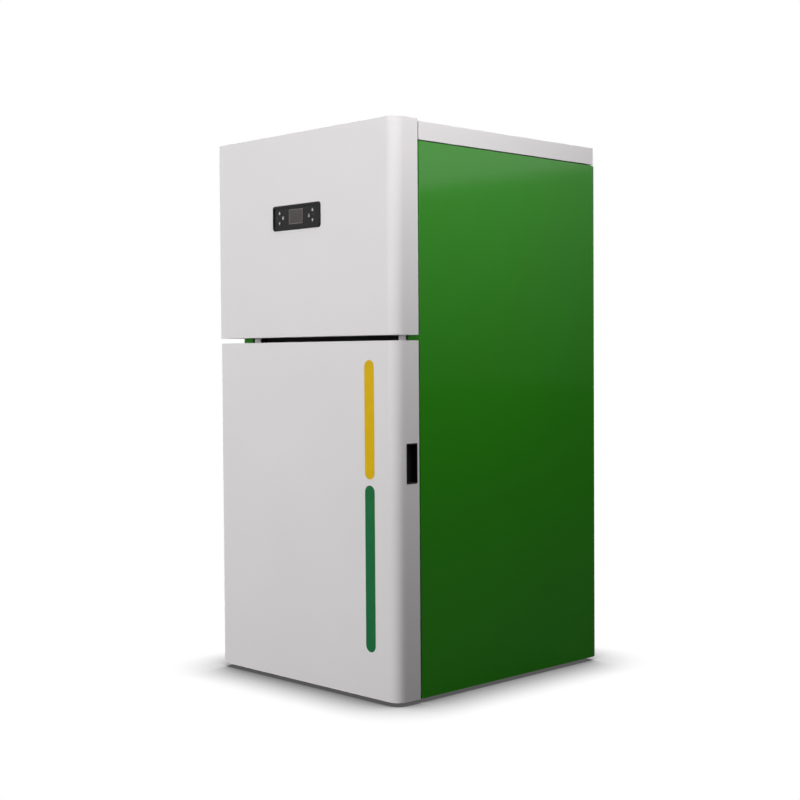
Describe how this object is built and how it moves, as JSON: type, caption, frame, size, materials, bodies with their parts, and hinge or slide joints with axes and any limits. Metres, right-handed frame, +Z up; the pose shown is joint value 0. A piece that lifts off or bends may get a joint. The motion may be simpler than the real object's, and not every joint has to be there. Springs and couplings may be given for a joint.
{
  "type": "pellet boiler",
  "caption": "Free-standing pellet boiler: sheet-steel cabinet with hinged lower door and hopper lid, auger-fed burner, fire-tube boiler block, flue fan and pipe spigots.",
  "frame": {"origin": "middle of the whole outline's footprint, on the floor under the levelling feet", "axes": "+Z up, -Y out of the front covers, +X to the right seen from the front"},
  "size_m": [0.681, 0.8, 1.41],
  "materials": {
    "white_coat": "fine white powder coat, semi-matt",
    "green_coat": "green gloss coat",
    "galvanised": "galvanised sheet steel",
    "black_coat": "black powder coat, matt",
    "boiler_steel": "boiler steel under dark grey primer",
    "cast_iron": "raw cast iron",
    "plain_steel": "plain steel, machined",
    "stainless": "stainless sheet",
    "black_plastic": "black moulded plastic, satin",
    "grey_plastic": "grey moulded plastic",
    "key_plastic": "dark grey key caps",
    "screen_glass": "clear screen cover over a grey display",
    "board": "green circuit board",
    "rubber_black": "black rubber",
    "mineral_wool": "foil-faced mineral wool mat",
    "rope_grey": "woven glass rope seal",
    "brass": "plain brass",
    "red_plastic": "red moulded cap",
    "red_coat": "red stove enamel on sheet steel",
    "motor_coat": "dark grey motor enamel",
    "magnet": "magnet in a dark housing",
    "igniter_steel": "heat-tinted steel"
  },
  "bodies": {
    "cabinet": {"base_frame": "black_coat", "levelling_feet": "plain_steel", "left_side_panel": "green_coat", "right_side_panel": "green_coat", "rear_panel": "galvanised", "top_frame": "galvanised", "corner_posts": "white_coat", "inner_front_panel": "black_coat", "lid_hinge_leaves": "galvanised", "hopper": "galvanised", "hopper_gasket": "rubber_black", "hopper_grid": "galvanised", "auger_tube": "plain_steel", "auger_gearmotor": "motor_coat", "feed_chute": "plain_steel", "boiler_body": "boiler_steel", "insulation_mats": "mineral_wool", "burner_pot": "cast_iron", "igniter": "igniter_steel", "smoke_box": "boiler_steel", "fan_scroll": "galvanised", "fan_motor": "motor_coat", "flue_spigot": "galvanised", "air_inlet_pipe": "galvanised", "supply_pipe": "plain_steel", "return_pipe": "plain_steel", "circulation_pump": "cast_iron", "expansion_vessel": "red_coat", "safety_valve": "brass", "drain_tap": "brass", "mains_inlet": "black_plastic", "upper_front_cover": "white_coat", "cover_brackets": "galvanised", "display_bezel": "black_plastic", "display_window": "screen_glass", "control_box": "grey_plastic", "control_board": "board", "door_hinge_arms": "galvanised", "door_magnets": "magnet"},
    "lower_door": {"lower_door": "white_coat", "door_handle_cup": "black_plastic", "door_hinge_lugs": "galvanised", "door_strikes": "galvanised"},
    "hopper_lid": {"hopper_lid": "white_coat", "lid_hinge_knuckles": "galvanised"},
    "auger_screw": {"auger_screw": "plain_steel"},
    "firebox_door": {"firebox_door": "cast_iron", "firebox_rope_seal": "rope_grey", "firebox_handle": "stainless"},
    "ash_drawer": {"ash_drawer": "galvanised"},
    "turbulator_rack": {"turbulator_rack": "plain_steel"},
    "cleaning_shaft": {"cleaning_shaft": "plain_steel"},
    "fan_impeller": {"fan_impeller": "stainless"},
    "mains_switch": {"mains_switch": "red_plastic"},
    "key_left_up": {"key_left_up": "key_plastic"},
    "key_left_down": {"key_left_down": "key_plastic"},
    "key_left_inner": {"key_left_inner": "key_plastic"},
    "key_right_up": {"key_right_up": "key_plastic"},
    "key_right_down": {"key_right_down": "key_plastic"},
    "key_right_inner": {"key_right_inner": "key_plastic"}
  },
  "joints": [
    {"name": "lower_door_hinge", "type": "hinge", "parent": "cabinet", "child": "lower_door", "pos_m": [-0.323, -0.358, 0.108], "axis": [0, 0, -1], "range_deg": [0, 95]},
    {"name": "hopper_lid_hinge", "type": "hinge", "parent": "cabinet", "child": "hopper_lid", "pos_m": [0, 0.3665, 1.3601], "axis": [-1, 0, 0], "range_deg": [0, 95]},
    {"name": "firebox_door_hinge", "type": "hinge", "parent": "cabinet", "child": "firebox_door", "pos_m": [-0.118, -0.134, 0.25], "axis": [0, 0, -1], "range_deg": [0, 90]},
    {"name": "ash_drawer_slide", "type": "slide", "parent": "cabinet", "child": "ash_drawer", "axis": [0, -1, 0], "range_m": [0, 0.185]},
    {"name": "cleaning_shaft_turn", "type": "hinge", "parent": "cabinet", "child": "cleaning_shaft", "pos_m": [0, 0.1, 0.843], "axis": [-1, 0, 0], "range_deg": [0, 30]},
    {"name": "turbulator_rack_lift", "type": "slide", "parent": "cabinet", "child": "turbulator_rack", "axis": [0, 0, 1], "range_m": [0, 0.02091]},
    {"name": "auger_turn", "type": "hinge", "parent": "cabinet", "child": "auger_screw", "pos_m": [0, -0.061, 0.95], "axis": [0, -1, 0], "continuous": true},
    {"name": "fan_turn", "type": "hinge", "parent": "cabinet", "child": "fan_impeller", "pos_m": [-0.15, 0.262, 0.87], "axis": [0, 0, -1], "continuous": true},
    {"name": "mains_switch_rock", "type": "hinge", "parent": "cabinet", "child": "mains_switch", "pos_m": [0.2395, 0.3585, 1.078], "axis": [1, 0, 0], "range_deg": [0, 18]},
    {"name": "key_left_up_press", "type": "slide", "parent": "cabinet", "child": "key_left_up", "axis": [0, 1, 0], "range_m": [0, 0.0008], "stiffness_N_per_m": 600, "springref_m": -0.0005},
    {"name": "key_left_down_press", "type": "slide", "parent": "cabinet", "child": "key_left_down", "axis": [0, 1, 0], "range_m": [0, 0.0008], "stiffness_N_per_m": 600, "springref_m": -0.0005},
    {"name": "key_left_inner_press", "type": "slide", "parent": "cabinet", "child": "key_left_inner", "axis": [0, 1, 0], "range_m": [0, 0.0008], "stiffness_N_per_m": 600, "springref_m": -0.0005},
    {"name": "key_right_up_press", "type": "slide", "parent": "cabinet", "child": "key_right_up", "axis": [0, 1, 0], "range_m": [0, 0.0008], "stiffness_N_per_m": 600, "springref_m": -0.0005},
    {"name": "key_right_down_press", "type": "slide", "parent": "cabinet", "child": "key_right_down", "axis": [0, 1, 0], "range_m": [0, 0.0008], "stiffness_N_per_m": 600, "springref_m": -0.0005},
    {"name": "key_right_inner_press", "type": "slide", "parent": "cabinet", "child": "key_right_inner", "axis": [0, 1, 0], "range_m": [0, 0.0008], "stiffness_N_per_m": 600, "springref_m": -0.0005}
  ],
  "couplings": [
    {"joint": "turbulator_rack_lift", "follows": "cleaning_shaft_turn", "m_per_rad": 0.039545}
  ]
}
